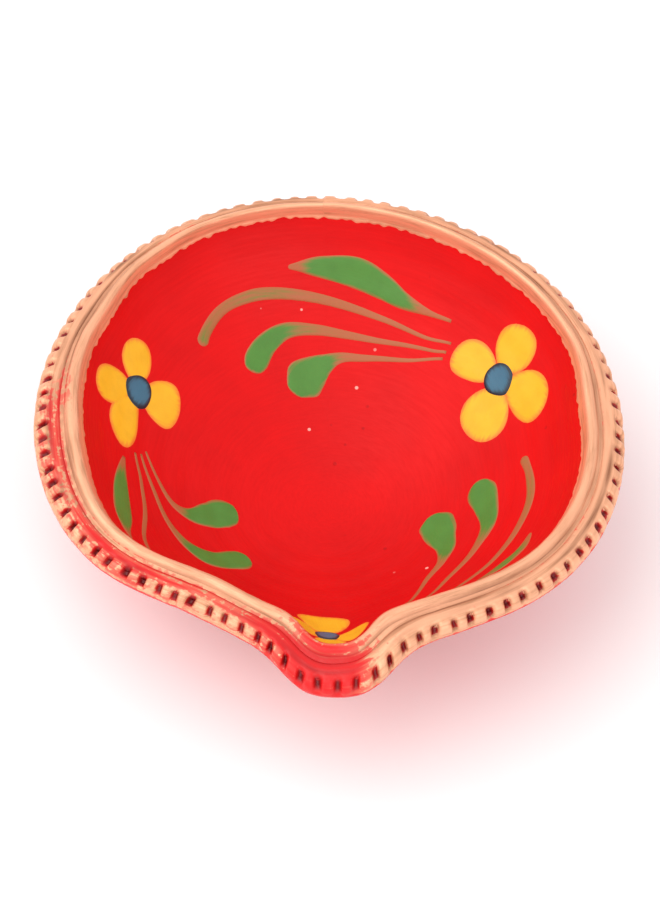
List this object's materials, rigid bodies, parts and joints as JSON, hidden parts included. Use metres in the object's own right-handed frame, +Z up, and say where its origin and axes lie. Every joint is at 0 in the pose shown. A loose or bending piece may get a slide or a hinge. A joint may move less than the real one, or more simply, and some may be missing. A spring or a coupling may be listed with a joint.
{
  "type": "oil lamp",
  "caption": "Shallow round painted clay oil lamp (diya) with a flat foot, notched gilt rim, painted flower sprays inside and a pinched spout that holds the wick.",
  "frame": {"origin": "centre of the foot's flat underside", "axes": "+Z up out of the bowl, the spout points along -Y, +X is to the right of someone facing the spout from the -Y side"},
  "size_m": [0.1089, 0.1135, 0.036],
  "materials": {
    "red_painted_clay": "satin red poster paint over low-fired clay, bare clay under the foot",
    "gold_paint": "coppery gold metallic paint, brushed thin so the red shows in its hollows",
    "yellow_paint": "satin hand-painted",
    "blue_paint": "satin hand-painted",
    "green_paint": "satin hand-painted, thin where the brush lifts"
  },
  "bodies": {
    "root": {"clay_bowl": "red_painted_clay", "gold_rim_band": "gold_paint", "right_flower_petals": "yellow_paint", "right_flower_centre": "blue_paint", "left_flower_petals": "yellow_paint", "left_flower_centre": "blue_paint", "front_flower_petals": "yellow_paint", "front_flower_centre": "blue_paint", "back_spray_leaf": "green_paint", "back_spray_arc": "green_paint", "back_spray_bud": "green_paint", "back_spray_drop": "green_paint", "left_spray_leaf": "green_paint", "left_spray_arc": "green_paint", "left_spray_bud": "green_paint", "left_spray_drop": "green_paint", "right_spray_leaf": "green_paint", "right_spray_arc": "green_paint", "right_spray_bud": "green_paint", "right_spray_drop": "green_paint"}
  },
  "joints": []
}
